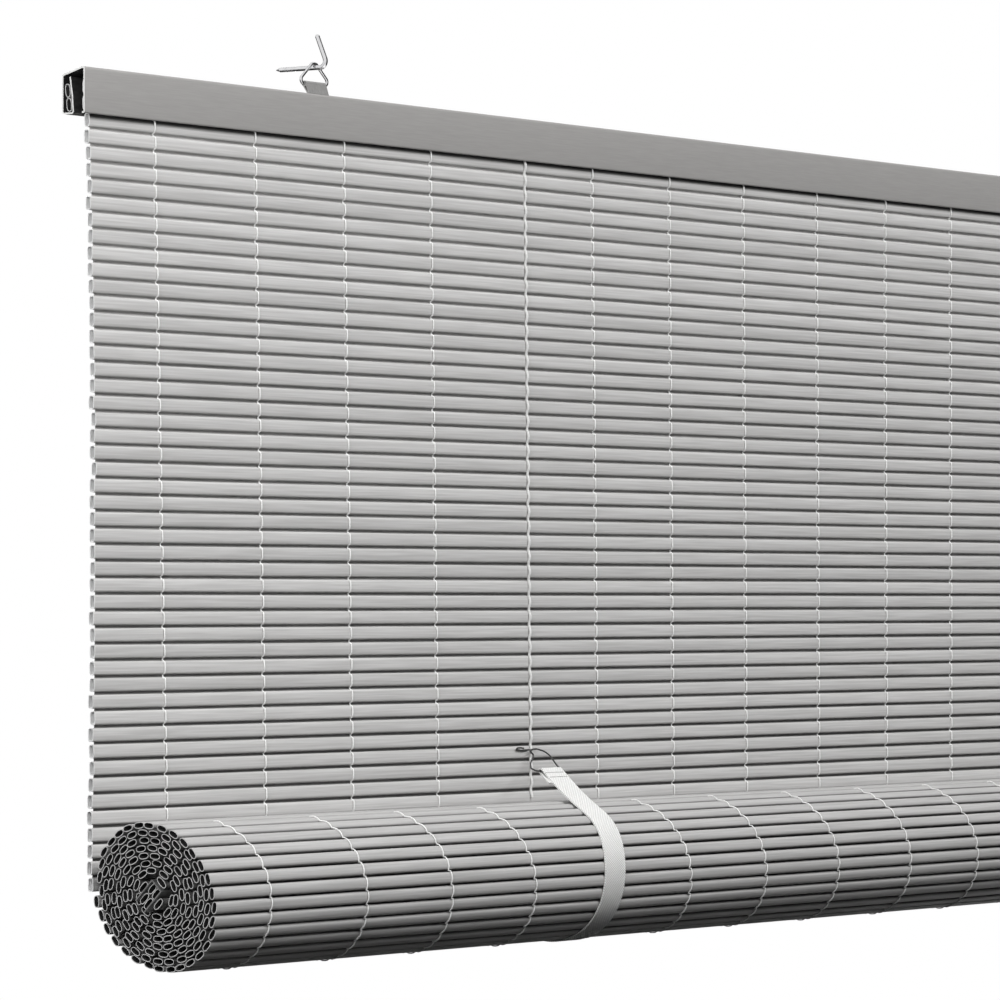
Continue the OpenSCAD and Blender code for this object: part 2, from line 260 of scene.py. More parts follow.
# %% Sizes of the mat
slat_h, slat_t, slat_wall = 8.4 * mm, 4 * mm, 0.5 * mm
hang_pitch, roll_pitch, turn_pitch = 10 * mm, 8.6 * mm, 4.55 * mm
hung_count, half_turns = 49, 15
channel_w, channel_d, channel_gap = 10.2 * mm, 18.2 * mm, 0.4 * mm
roll_gap = 0.2 * mm
low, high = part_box("hanging_mat")
mat_w = high[0] - low[0]
mat_y = (low[1] + high[1]) / 2
slat_z = [high[2] - slat_h / 2 - i * hang_pitch for i in range(hung_count)]
core_r = math.hypot(channel_w, channel_d) / 2 + slat_t / 2 + channel_gap
roll_r = core_r + (half_turns - 1) * turn_pitch / 2
roll_y = mat_y - roll_r
axis_z = slat_z[-1] - hang_pitch / 2 - roll_gap


def turn_radius(a):
    """The radius of the half turn on which the angle a lies."""
    return roll_r - (a // 180) * turn_pitch / 2


def turn_y(a):
    """The Y of the middle of that half turn."""
    return roll_y - (a // 180 % 2) * turn_pitch / 2


def roll_place(a):
    """The middle of a rolled slat in Y and Z, a degrees round from the back of the roll."""
    r, t = turn_radius(a), math.radians(a)
    return turn_y(a) + r * math.cos(t), axis_z - r * math.sin(t)


def next_slat(a):
    """The angle of the slat after the one at a, also where it lies on the next half turn."""
    r = turn_radius(a)
    edge = 180 * (a // 180 + 1)
    b = a + math.degrees(2 * math.asin(roll_pitch / 2 / r))
    return b if b <= edge else edge + (b - edge) * r / (r - turn_pitch / 2)


roll_angles = [math.degrees(math.asin(hang_pitch / 2 / roll_r))]
while next_slat(roll_angles[-1]) < 180 * half_turns:
    roll_angles.append(next_slat(roll_angles[-1]))
print("mat", round(mat_w, 4), "wide; slats:", len(slat_z), "hung,", len(roll_angles), "rolled")
print("roll radius", round(roll_r, 4))

# %% [markdown]
# ## Finishes
# Every finish on this blind is nearly one grey, with faint marks: streaks in plastic that
# was drawn through a die, fine brushing in the paint, fuzz on thread. A picture of each
# could be mapped on, but noise needs no seams and no file. It is stretched along the way
# that the piece was made, picks a shade between two, and gives the rougher finishes a
# relief of a few hundredths of a millimetre.

# %% Marks on a finish
shade_stops = (0.32, 0.68)
even = (1, 1, 1)


def grey(value):
    return (value, value, value)


def stretched_noise(tree, stretch, scale, detail):
    """Noise on the object's own coordinates, drawn out along an axis by a small share there."""
    place = tree.nodes.new("ShaderNodeTexCoord")
    squeeze = tree.nodes.new("ShaderNodeMapping")
    squeeze.inputs["Scale"].default_value = stretch
    noise = tree.nodes.new("ShaderNodeTexNoise")
    noise.inputs["Scale"].default_value = scale
    noise.inputs["Detail"].default_value = detail
    tree.links.new(place.outputs["Object"], squeeze.inputs["Vector"])
    tree.links.new(squeeze.outputs["Vector"], noise.inputs["Vector"])
    return noise.outputs["Fac"]


def shade_range(tree, factor, dark, light):
    """A colour between dark and light."""
    ramp = tree.nodes.new("ShaderNodeValToRGB")
    for stop, place, colour in zip(ramp.color_ramp.elements, shade_stops, (dark, light)):
        stop.position = place
        stop.color = (*colour, 1)
    tree.links.new(factor, ramp.inputs["Fac"])
    return ramp.outputs["Color"]


def relief(tree, shader, height, depth):
    bump = tree.nodes.new("ShaderNodeBump")
    bump.inputs["Strength"].default_value = 1.0
    bump.inputs["Distance"].default_value = depth
    tree.links.new(height, bump.inputs["Height"])
    tree.links.new(bump.outputs["Normal"], shader.inputs["Normal"])


def marked(name, rough, dark, light, stretch, scale, detail=2, metal=0.0, depth=0.0):
    """A finish with marks from dark to light, which stand out by the depth."""
    finish, tree, shader = new_finish(name, rough, metal)
    marks = stretched_noise(tree, stretch, scale, detail)
    tree.links.new(shade_range(tree, marks, dark, light), shader.inputs["Base Color"])
    if depth:
        relief(tree, shader, marks, depth)
    print(name, "made")
    return finish


print("marks run from dark to light between", shade_stops)

# %% [markdown]
# ## Finishes of the tubes
# No two tubes of a real mat have quite the same grey, and their grooves are darkened with
# painted shade. One material for each tube would be hundreds, so a tone, with that painted
# shade in it, is stored on the mesh as an attribute and multiplies the grey of one material.
# The bores and the cut ends have finishes of their own: pale where the mat hangs, which is
# painted light, and dark in the roll, which is painted shade.

# %% Finishes of the tubes
slat_plastic, tree, shader = new_finish("slat_plastic", 0.55)
shader.inputs["Specular IOR Level"].default_value = 0.25
streak = stretched_noise(tree, (0.02, 1, 1), 900, 2)
streaked = shade_range(tree, streak, (0.45, 0.445, 0.44), (0.55, 0.545, 0.54))
# The attribute holds each tube's tone together with its painted shade and painted light.
tone_and_painted_shading = tree.nodes.new("ShaderNodeAttribute")
tone_and_painted_shading.attribute_name = "tone_and_painted_shading"
toned = tree.nodes.new("ShaderNodeMix")
toned.data_type = "RGBA"
toned.blend_type = "MULTIPLY"
toned.inputs["Factor"].default_value = 1
tree.links.new(streaked, toned.inputs["A"])
tree.links.new(tone_and_painted_shading.outputs["Color"], toned.inputs["B"])
tree.links.new(toned.outputs["Result"], shader.inputs["Base Color"])
relief(tree, shader, streak, 0.06 * mm)

drawn = (0.05, 1, 1)
# Lit and shaded copies of one plastic: pale bores and cut ends are painted light, dark ones
# painted shade.
painted_light_bore = marked("painted_light_bore", 0.7, grey(0.84), grey(0.92), drawn, 300)
painted_shade_bore = marked("painted_shade_bore", 0.8, grey(0.015), grey(0.04), drawn, 300)
painted_shade_cut = marked("painted_shade_cut", 0.6, grey(0.45), grey(0.63), even, 2500)
painted_light_cut = marked("painted_light_cut", 0.6, grey(0.78), grey(0.92), even, 2500)

# %% [markdown]
# ## Finishes of the rail and the metal
# The rail is sheet, painted grey and finely brushed outside and bare at its cut ends. Its
# inside is black, which is painted shade for the shade in its hollow. The hooks and bails are
# chromed wire, the hangers dull sheet, and the links dark spring wire. The channel is dark,
# which is painted shade for the shade at the core of the roll. The solids of the hooks,
# bails, hangers, rivets and the channel have their real shape already, so they only get a
# finish.

# %% Finishes of the rail and the metal
rail_paint = marked(
    "rail_paint", 0.42, (0.294, 0.288, 0.282), (0.322, 0.315, 0.309), (0.04, 1, 1), 1300,
    detail=3, depth=0.03 * mm)
# The black inside finish is painted shade for the shade in the rail's hollow.
rail_painted_shade = marked(
    "rail_painted_shade", 0.7, grey(0.008), grey(0.03), (0.2, 1, 1), 500, detail=3)
rail_edge = marked("rail_edge", 0.4, (0.7, 0.7, 0.69), (0.88, 0.88, 0.87), even, 2500)

scuff = 0.01 * mm
wire_chrome = marked(
    "wire_chrome", 0.16, (0.66, 0.66, 0.67), (0.78, 0.78, 0.79), (1, 1, 0.2), 300,
    detail=3, metal=1.0)
hanger_steel = marked(
    "hanger_steel", 0.45, (0.3, 0.297, 0.293), (0.37, 0.366, 0.36), (1, 1, 0.1), 1100,
    detail=3, metal=0.4, depth=scuff)
rivet_aluminium = marked(
    "rivet_aluminium", 0.4, grey(0.5), grey(0.62), even, 1500, detail=3, metal=1.0, depth=scuff)
# The channel is dark grey, a painted shade for the shade at the core of the roll.
channel_aluminium = marked(
    "channel_aluminium", 0.45, grey(0.16), grey(0.24), (0.03, 1, 1), 1200,
    detail=3, metal=0.6, depth=scuff)
link_wire = marked(
    "link_wire", 0.35, grey(0.06), grey(0.12), even, 2000, detail=3, metal=0.7, depth=scuff)


def dress(name, finish):
    for held in nodes[name].material_slots:
        held.material = finish


for end in ("left", "right"):
    dress("wall_hook_" + end, wire_chrome)
    dress("bail_" + end, wire_chrome)
    dress("hanger_" + end, hanger_steel)
dress("hanger_rivets", rivet_aluminium)
dress("bottom_channel", channel_aluminium)

# %% [markdown]
# ## Finishes of the thread and the webbing
# Threads, cords and stitches are fibre: dull, and fuzzy close to. The webbing has a plain
# weave, in which two sets of yarns go over and under each other. Modelled yarns would be
# thousands, so two waves, one along the strap and one across it, are multiplied into that
# pattern. They read the strap's flat UV, so that the weave follows every bend.

# %% Finishes of the thread and the webbing
warp_pitch, weft_pitch = 2.1 * mm, 1.7 * mm
stitch_thread = marked("stitch_thread", 0.9, grey(0.2), grey(0.34), even, 3000)
fine_thread = marked(
    "fine_thread", 0.85, (0.7, 0.7, 0.69), (0.88, 0.88, 0.87), (1, 1, 0.4), 2600,
    detail=4, depth=0.1 * mm)
cord_thread = marked(
    "cord_thread", 0.85, (0.58, 0.58, 0.57), (0.74, 0.74, 0.73), (1, 1, 0.4), 2600,
    detail=4, depth=0.1 * mm)


def wave_of(tree, value, pitch):
    """A wave from -1 to 1 along a coordinate in metres."""
    return math_node(tree, "SINE", math_node(tree, "MULTIPLY", value, math.tau / pitch))


webbing, tree, shader = new_finish("webbing", 0.8)
flat_place = tree.nodes.new("ShaderNodeUVMap")
flat_place.uv_map = "flat"
split = tree.nodes.new("ShaderNodeSeparateXYZ")
tree.links.new(flat_place.outputs["UV"], split.inputs[0])
warp = wave_of(tree, split.outputs["X"], warp_pitch)
weft = wave_of(tree, split.outputs["Y"], weft_pitch)
weave = math_node(tree, "MULTIPLY_ADD", warp, weft, 0.5)
yarn = shade_range(tree, weave, (0.57, 0.57, 0.56), (0.83, 0.83, 0.82))
tree.links.new(yarn, shader.inputs["Base Color"])
relief(tree, shader, weave, 0.22 * mm)
print("webbing made")

# %% [markdown]
# ## One tube
# A slat is a thin-walled tube, with an oval section that has flattened faces. It starts as
# a circle, is squeezed and squared off to that oval, and is drawn out along its length in
# steps. Solidify then gives it its wall, with a finish each for the outside, the bore and
# the cut ends. Two patterns are made, one for the hung mat, in many steps so that it can
# bow, and one for the roll, where long straight faces do. All slats are copies of them,
# each with its own mesh.

# %% One tube
def select_only(*objs):
    """Selects these objects, the first as the active one, for the operators that follow."""
    bpy.ops.object.select_all(action="DESELECT")
    for obj in objs:
        obj.select_set(True)
    bpy.context.view_layer.objects.active = objs[0]


def start_edit(obj):
    select_only(obj)
    bpy.ops.object.mode_set(mode="EDIT")
    bpy.ops.mesh.select_all(action="SELECT")


def draw_out(obj, steps):
    """Extrudes an outline along X in steps, with the faces turned one way."""
    start_edit(obj)
    for step in steps:
        bpy.ops.mesh.extrude_region_move(TRANSFORM_OT_translate={"value": (step, 0, 0)})
    bpy.ops.mesh.select_all(action="SELECT")
    bpy.ops.mesh.normals_make_consistent(inside=False)
    bpy.ops.object.mode_set(mode="OBJECT")


def squared(value, square):
    """A cosine or sine, pushed out towards the corners of the section."""
    return math.copysign(abs(value) ** (2 / square), value)


def make_tube(name, sides, steps, square, bore, cut):
    """A tube with an oval section: square is 2 for an ellipse, and more for flatter faces."""
    bpy.ops.object.select_all(action="DESELECT")
    bpy.ops.mesh.primitive_circle_add(vertices=sides, radius=1, rotation=(0, math.pi / 2, 0))
    tube = bpy.context.object
    tube.name = name
    bpy.ops.object.transform_apply(rotation=True)
    for v in tube.data.vertices:
        t = math.atan2(v.co.z, v.co.y)
        v.co.x = -mat_w / 2
        v.co.y = squared(math.cos(t), square) * slat_t / 2
        v.co.z = squared(math.sin(t), square) * slat_h / 2
    draw_out(tube, steps)
    for finish in (slat_plastic, bore, cut):
        tube.data.materials.append(finish)
    wall = tube.modifiers.new("wall", "SOLIDIFY")
    wall.thickness = slat_wall
    wall.offset = -1
    wall.material_offset = 1
    wall.material_offset_rim = 2
    bpy.ops.object.modifier_apply(modifier="wall")
    bpy.ops.object.shade_smooth_by_angle(angle=math.radians(50))
    print(name, len(tube.data.polygons), "faces")
    return tube


tube_sides, long_count, end_step = 20, 18, 14 * mm
hung_square, roll_square = 4, 2.5
long_steps = [mat_w / long_count] * long_count
plain_steps = [end_step, mat_w - 2 * end_step, end_step]
# The hung pattern gets bores and cut ends painted light, the rolled one gets them painted shade.
long_tube = make_tube(
    "long_tube", tube_sides, long_steps, hung_square, painted_light_bore, painted_light_cut)
plain_tube = make_tube(
    "plain_tube", tube_sides, plain_steps, roll_square, painted_shade_bore, painted_shade_cut)

# %% [markdown]
# ## Copies of the tube
# A real mat is never perfect: tubes sit a hair proud, turn a little in their threads, bow
# between them and end raggedly. Their narrow sides are darkened with painted shade, for the
# shade in the grooves, and more so to the right. An Array modifier would make them all alike,
# so each copy is set by its own small chances. A fixed seed keeps these the same in every run.

# %% Copies of the tube
chance = random.Random(7)
# Painted shade: the narrow sides of every tube, where the grooves are, darken more to the right.
unshaded_share, end_reach = 0.86, 1 * mm
left_groove_shade, right_groove_shade, groove_shade_start = 0.6, 1.4, 0.55
up_waves, out_waves, ripple, full_turn = (9, 23), (11, 27), 0.6, 6.3
ragged, proud, uneven = 1.2 * mm, 0.08 * mm, 0.05


def new_piece(name, data):
    piece = bpy.data.objects.new(name, data)
    scene.collection.objects.link(piece)
    return piece


def tube_tone_and_painted_shade(spot, shade, groove_shade, end_shade):
    """The tone at a spot, with painted shade on the narrow sides, more to the right, and on the
    cut ends.
    """
    end = end_shade if abs(spot.x) > mat_w / 2 - end_reach else 1.0
    side = max(0, (abs(spot.z) / (slat_h / 2) - unshaded_share) / (1 - unshaded_share))
    across = max(0, min(1, spot.x / mat_w + groove_shade_start))
    return shade * end * (1 - side * groove_shade * (left_groove_shade + (right_groove_shade - left_groove_shade) * across))


def wavy(x, waves, phases):
    """A slow and a fast wave along a tube, together from -1 to 1."""
    slow, fast = (math.sin(x * wave + phase) for wave, phase in zip(waves, phases))
    return (slow + ripple * fast) / (1 + ripple)


def copy_of(pattern, name, matrix, shade, bow=0.0, groove_shade=0.4, end_shade=1.0):
    """A copy of a tube with its own mesh, bowed, moved by the matrix and with its tones."""
    mesh = pattern.data.copy()
    tones = [tube_tone_and_painted_shade(v.co, shade, groove_shade, end_shade) for v in mesh.vertices]
    if bow:
        phases = [chance.uniform(0, full_turn) for i in range(4)]
        for v in mesh.vertices:
            v.co.z += bow * wavy(v.co.x, up_waves, phases[:2])
            v.co.y += bow * wavy(v.co.x, out_waves, phases[2:])
    mesh.transform(matrix)
    values = mesh.attributes.new("tone_and_painted_shading", "FLOAT", "POINT")
    values.data.foreach_set("value", tones)
    return new_piece(name, mesh)


def set_tube(pattern, y, z, a, left, loose, groove_shade, tall=1.0, bow=0.0, shade=1.0, end_shade=1.0):
    """A tube turned by a, set in by left at its left end, with its height times tall."""
    left += chance.uniform(-ragged, ragged)
    place = (left / 2, y + chance.uniform(-proud, proud), z)
    turn = math.radians(-a + chance.uniform(-loose, loose))
    size = Matrix.Diagonal((1 - left / mat_w, 1, tall, 1))
    matrix = Matrix.Translation(place) @ Matrix.Rotation(turn, 4, "X") @ size
    shade *= chance.uniform(1 - uneven, 1 + uneven)
    return copy_of(pattern, "slat", matrix, shade, bow, groove_shade, end_shade)


print("tubes end raggedly within", ragged, "and sit proud within", proud)

# %% [markdown]
# ## Setting the tubes
# The hung tubes stand edge on edge. The mat is pulled a little to the left at its top, and
# the painted shade in its grooves is deeper low down. In the roll the tubes lie along the
# arcs, pressed flatter, and the turns have slipped along it, more at the bottom. The rolled
# tubes are a painted shade darker all over. Inside the first turn the tubes are looser, and
# their cut ends are darkened with painted shade.

# %% Setting the tubes
hung_loose, outer_loose, inner_loose = 2, 1.5, 7
# Painted shade: deeper in the grooves low down, over the whole roll, and on cut ends inside the
# roll.
hung_bow, roll_groove_shade, roll_painted_shade, roll_squash = 0.1 * mm, 0.65, 0.8, 0.88
unshaded_end_turn, painted_shade_end = 330, 0.2
low_groove_shade, high_groove_shade = 0.55, 0.1
swing_right, pull_left, roll_in, roll_slip = 8 * mm, 13 * mm, 5 * mm, 12 * mm


def height_share(z):
    """0 at the lowest hung tube and 1 at the highest."""
    return (z - slat_z[-1]) / (slat_z[0] - slat_z[-1])


def hung_left(z):
    """How far the left end of a hung tube is set in, or stands out where it is negative."""
    share = height_share(z)
    return swing_right * share - pull_left * share ** 3


def roll_left(z):
    """The same for a rolled tube, which has slipped in more the lower it lies."""
    return roll_in + roll_slip * (axis_z - z) / roll_r


hung, rolled = [], []
for z in slat_z:
    hung_groove_shade = low_groove_shade + (high_groove_shade - low_groove_shade) * height_share(z)
    hung.append(set_tube(
        long_tube, mat_y, z, 0, hung_left(z), hung_loose, hung_groove_shade, bow=hung_bow))
for a in roll_angles:
    y, z = roll_place(a)
    rolled.append(set_tube(
        plain_tube, y, z, a, roll_left(z), outer_loose if a < 360 else inner_loose, roll_groove_shade,
        tall=roll_squash, shade=roll_painted_shade, end_shade=1 if a < unshaded_end_turn else painted_shade_end))
print("tubes set:", len(hung), "hung,", len(rolled), "rolled")

# %% [markdown]
# ## Webs between the hung tubes
# Between the tubes of a real mat there are small gaps, which look dark because the shade
# behind the mat shows through them. A thin strip closes each groove behind its deepest line,
# as in the solids, and stands in for that shade. Strips could be part of every tube, but one
# bevelled bar, repeated by an Array modifier, has far fewer faces. It is painted light at the
# top and painted shade lower down, so it gets darker downwards.

# %% Webs between the hung tubes
web_t, web_lap, web_inset, web_back = 0.7 * mm, 1.2 * mm, 7 * mm, 0.8 * mm
web_edge, web_painted_shade_low, web_painted_light_rise = 0.15 * mm, 0.25, 1.1
web_h, web_count = hang_pitch - slat_h + web_lap, len(slat_z) - 1
bpy.ops.object.select_all(action="DESELECT")
bpy.ops.mesh.primitive_cube_add(size=1)
web = bpy.context.object
start_edit(web)
bpy.ops.transform.resize(value=(mat_w - web_inset, web_t, web_h))
bpy.ops.mesh.bevel(offset=web_edge, segments=1)
bpy.ops.object.mode_set(mode="OBJECT")
web.data.materials.append(slat_plastic)
web.data.transform(Matrix.Translation((0, mat_y + web_back, slat_z[0] - hang_pitch / 2)))
row = web.modifiers.new("row", "ARRAY")
row.count = web_count
row.use_relative_offset = False
row.use_constant_offset = True
row.constant_offset_displace = (0, 0, -hang_pitch)
bpy.ops.object.modifier_apply(modifier="row")
for v in web.data.vertices:
    if v.co.x < 0:
        v.co.x += hung_left(v.co.z)
# The tone of the strips is painted light near the top and painted shade lower down.
values = web.data.attributes.new("tone_and_painted_shading", "FLOAT", "POINT")
tones = [web_painted_shade_low + web_painted_light_rise * height_share(v.co.z) for v in web.data.vertices]
values.data.foreach_set("value", tones)
print("webs:", web_count)

# %% [markdown]
# ## The mat as two pieces
# The tube at the foot of the rail has a dark line of painted shadow along it, for the
# shadow that the rail casts, which goes into its tone. The tubes are then joined into two
# pieces, one that hangs and one that is rolled, and each takes the place of its solid.
# Hundreds of loose tubes would be hard to handle.

# %% The mat as two pieces
shadow_reach, shadow_fade, shadow_tone = 2.6 * mm, 1.6 * mm, 0.12
rail_low, rail_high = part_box("headrail")
rail_foot = rail_low[2]


def joined(pieces, name):
    select_only(*pieces)
    bpy.ops.object.join()
    whole = bpy.context.object
    whole.name = whole.data.name = name
    return whole


# Painted shadow: the rail's cast shadow darkens the top of the tube at its foot.
for piece, z in zip(hung, slat_z):
    if rail_foot - hang_pitch < z < rail_foot:
        for v, value in zip(piece.data.vertices, piece.data.attributes["tone_and_painted_shading"].data):
            clean = 1 - (v.co.z - rail_foot + shadow_reach) / shadow_fade
            value.value *= min(1, max(shadow_tone, clean))
hung_slats = joined(hung + [web], "hung_slats")
rolled_slats = joined(rolled, "rolled_slats")
for piece, node in ((hung_slats, "hanging_mat"), (rolled_slats, "rolled_mat")):
    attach(piece, "blind")
    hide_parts(node)
    print(piece.name, len(piece.data.polygons), "faces")

# %% [markdown]
# ## Clamp slats
# Two more tubes are wedged in the rear pocket of the rail, where they lean with its
# divider. They are copies of the plain tube, as long as their solids, with its dark bores
# and cut ends, which are painted shade. The solids could stay, but they have no such ends.

# %% Clamp slats
divider_lean = -6.7
lean = Matrix.Rotation(math.radians(divider_lean), 4, "X")
for name in ("clamp_slat_upper", "clamp_slat_lower"):
    low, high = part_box(name)
    spot = Matrix.Translation([(a + b) / 2 for a, b in zip(low, high)])
    stretch = Matrix.Diagonal(((high[0] - low[0]) / mat_w, 1, 1, 1))
    piece = copy_of(plain_tube, name + "_tube", spot @ lean @ stretch, chance.uniform(0.9, 1.0))
    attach(piece, "blind")
    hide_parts(name)
    print(piece.name, "made")

# %% [markdown]
# ## Core slats
# At the core of the roll four tubes lie in the channel, in two pairs, and three lie round
# it and fill the core. All turn with the channel, so they are placed as if it stood upright
# and are then tilted together. The two patterns aren't needed after this.

# %% Core slats
core_slip, core_tilt = 2.5 * mm, -45
pair_shift, pair_y, pair_z = 0.4 * mm, 4.3 * mm, 2.1 * mm
beside_y, beside_z, mouth_y, mouth_shade = 0.6 * mm, 7.5 * mm, -11.4 * mm, 0.97
core = Matrix.Translation((core_slip, roll_y, axis_z))
tilt = core @ Matrix.Rotation(math.radians(core_tilt), 4, "X")
lying = Matrix.Rotation(math.radians(90), 4, "X")
gripped = [(pair_shift + u * pair_y, v * pair_z) for u in (-1, 1) for v in (-1, 1)]
beside = [(v * beside_y, v * beside_z) for v in (-1, 1)]
lay = []
# The cut ends of the core tubes are darkened with painted shade, as inside the roll.
for y, z in gripped + beside:
    matrix = tilt @ Matrix.Translation((0, y, z)) @ lying
    shade = chance.uniform(0.9, 1.02)
    lay.append(copy_of(plain_tube, "core_slat", matrix, shade, end_shade=painted_shade_end))
upright = tilt @ Matrix.Translation((0, mouth_y, 0))
lay.append(copy_of(plain_tube, "core_slat", upright, mouth_shade, end_shade=painted_shade_end))
core_slats = joined(lay, "core_slats")
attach(core_slats, "blind")
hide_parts("bottom_slats")
for pattern in (long_tube, plain_tube):
    bpy.data.objects.remove(pattern)
print("core slats:", len(lay))

# %% [markdown]
# ## Threads
# Two strands twine round the tubes at every thread: one lies over the faces and dips to
# the web between them, the other does the same at the back. In the roll the back strand
# is the outer one. The weave leans a little, and leans more round the roll. Each strand is
# a curve with a round section, because a curve needs only the points of its route. It is
# made a mesh at the end.

# %% A strand
pulled_share = 0.8


def strand(name, points, radius, rounds=0, thin_after=None):
    """A thread through the points, with a round section, pulled thinner after a point."""
    curve = bpy.data.curves.new(name, "CURVE")
    curve.dimensions = "3D"
    curve.bevel_depth = radius
    curve.bevel_resolution = rounds
    curve.use_fill_caps = True
    line = curve.splines.new("POLY")
    line.points.add(len(points) - 1)
    for i, (spot, place) in enumerate(zip(line.points, points)):
        spot.co = (*place, 1)
        spot.radius = pulled_share if thin_after and i > thin_after else 1
    return new_piece(name, curve)


def as_mesh(objs):
    select_only(*objs)
    bpy.ops.object.convert(target="MESH")
    for obj in objs:
        obj.data.polygons.foreach_set("use_smooth", [True] * len(obj.data.polygons))


print("strands in the roll are pulled to", pulled_share, "of their thickness")

# %% Routes of the threads
thread_r, sway_reach = 0.6 * mm, 0.25 * mm
sink = 0.9 * thread_r
cord_x, under_strap = 439 * mm, 10 * mm
first_x, lean_reach, drift_reach = -832 * mm, 950 * mm, 472 * mm
lean_most, lean_z = 0.031, -337 * mm
drift_least, drift_more, drift_from, drift_over = 14 * mm, 9 * mm, 80, 100
front_dip, back_dip, roll_dip = 0.05 * mm, 1.2 * mm, 0.8 * mm
over_tube = (4.2 * mm, 3.2 * mm, 1.7 * mm, 0, -1.7 * mm, -3.2 * mm, -4.2 * mm)


def slat_front(u, square):
    """How far a tube's face stands out of its middle plane, u above the tube's middle."""
    share = min(1.0, abs(u) / (slat_h / 2))
    return slat_t / 2 * (1 - share ** square) ** (1 / square)


def weave_x(x, z):
    """The X of a thread at a height: threads at the left lean most."""
    lean = lean_most * min(1, max(0, 1 - (x - first_x) / lean_reach))
    return x + lean * (lean_z - z)


def roll_x(x, a):
    """The X of a thread round the roll, where it drifts to the left past its underside."""
    drift = drift_least + drift_more * min(1, (x - first_x) / drift_reach)
    return weave_x(x, axis_z) - drift * max(0, (a - drift_from) / drift_over)


def hung_strand(x, side):
    """The points of a strand down the hung mat: side is -1 on its front and 1 on its back."""
    points = []
    for z in slat_z:
        sway = chance.uniform(-sway_reach, sway_reach)
        for u in over_tube:
            out = max(slat_front(u, hung_square), front_dip if side < 0 else back_dip) + sink
            points.append((weave_x(x, z + u) + sway, mat_y + side * out, z + u))
    return points


def rolled_strand(x, last):
    """The points of a strand on the outside of the roll, up to the angle last."""
    points = []
    for a in [a for a in roll_angles if a <= last]:
        y, z = roll_place(a)
        sine, cosine = math.sin(math.radians(a)), math.cos(math.radians(a))
        for u in over_tube:
            out = max(slat_front(u / roll_squash, roll_square), roll_dip) + sink
            points.append((roll_x(x, a), y + sine * u + cosine * out, z + cosine * u - sine * out))
    return points


print("thread over", len(slat_z), "tubes:", len(slat_z) * len(over_tube), "points")

# %% Threads
thread_places = (
    -832, -732, -640, -546, -360, -266, -172, -75, 19,
    112, 194, 276, 357, 546, 640, 732, 832,
)
thread_end, strap_thread_end = 264, 205
strands = []
for x in [place * mm for place in thread_places]:
    strands.append(strand("thread", hung_strand(x, -1), thread_r))
    back = hung_strand(x, 1)
    whole = back + rolled_strand(x, thread_end)
    strands.append(strand("thread", whole, thread_r, thin_after=len(back)))
for x, beside in ((-cord_x, -under_strap), (cord_x, under_strap)):
    back = hung_strand(x, 1)
    whole = back + rolled_strand(x + beside, strap_thread_end)
    strands.append(strand("thread", whole, thread_r, thin_after=len(back)))
as_mesh(strands)
threads = joined(strands, "threads")
threads.data.materials.append(fine_thread)
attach(threads, "blind")
print("threads:", len(threads.data.polygons), "faces")

# %% [markdown]
# ## Hook cords
# Two threads are thick cords, on which the wire links are hooked. Each comes out of the
# rail and runs down the face of the mat into the roll. It rides over the tubes and sinks
# a little between them, so its route is a wave with the pitch of the tubes. The length is
# measured along that route, and printed.

# %% Hook cords
cord_r, cord_swell, cord_sink = 0.9 * mm, 0.6 * mm, 0.75
cord_lean, cord_lean_z, cord_inset, cord_steps = 0.018, -0.4, 0.3 * mm, 8
for end, side in (("left", -1), ("right", 1)):
    low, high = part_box("hook_cord_" + end)
    points, z = [], high[2] - cord_inset
    while z > low[2] + cord_inset:
        swell = cord_swell * math.cos((z - slat_z[0]) / hang_pitch * math.tau)
        x = side * (cord_x + cord_lean * (z - cord_lean_z))
        points.append(Vector((x, mat_y - slat_t / 2 - cord_r * cord_sink - swell, z)))
        z -= hang_pitch / cord_steps
    cord = strand("hook_cord_" + end + "_twist", points, cord_r, 2)
    cord.data.materials.append(cord_thread)
    as_mesh([cord])
    length = sum((b - a).length for a, b in zip(points, points[1:]))
    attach(cord, "blind")
    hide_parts("hook_cord_" + end)
    print(cord.name, "length", round(length, 3))

# %% [markdown]
# ## Straps
# A strap of webbing comes out of the rail behind the mat, runs down its back, goes under
# the roll and up its front, and is sewn round the bar of the wire link. Cloth simulation
# could drape it, but it is pulled tight, so its route is known: straight runs and arcs. It
# is made as a ribbon on that route, with its flat size kept as UV for the weave.

# %% Round the roll
strap_w, strap_t = 23 * mm, 0.9 * mm
strap_x, strap_top, strap_gap = 459 * mm, -22.87 * mm, 0.2 * mm
strap_r = roll_r + slat_t / 2 + strap_gap + strap_t / 2
outer_r = strap_r - turn_pitch / 2
bar_front, bar_rise = 31 * mm, 64 * mm
bar = Vector((mat_y - bar_front, axis_z + bar_rise))
first_turn, second_turn = Vector((roll_y, axis_z)), Vector((roll_y - turn_pitch / 2, axis_z))
reach = bar - second_turn
leave = 360 - math.degrees(math.atan2(reach.y, reach.x) + math.acos(outer_r / reach.length))
down_steps, round_step, front_steps = 24, 4, 14
leave_drift, bar_drift, tail_drift = -7, 2, -5
under_drift = ((20, 0), (100, -7), (180, -12))
front_drift = ((180, -12), (leave, leave_drift))


def on_circle(middle, r, a):
    t = math.radians(a)
    return Vector((middle.x + r * math.cos(t), middle.y - r * math.sin(t)))


def eased(value, marks):
    """A smooth value between marks of (place, value): here a sideways drift in millimetres."""
    for (a, p), (b, q) in zip(marks, marks[1:]):
        if value <= b:
            share = max(0, (value - a) / (b - a))
            return p + (q - p) * share * share * (3 - 2 * share)
    return marks[-1][1]


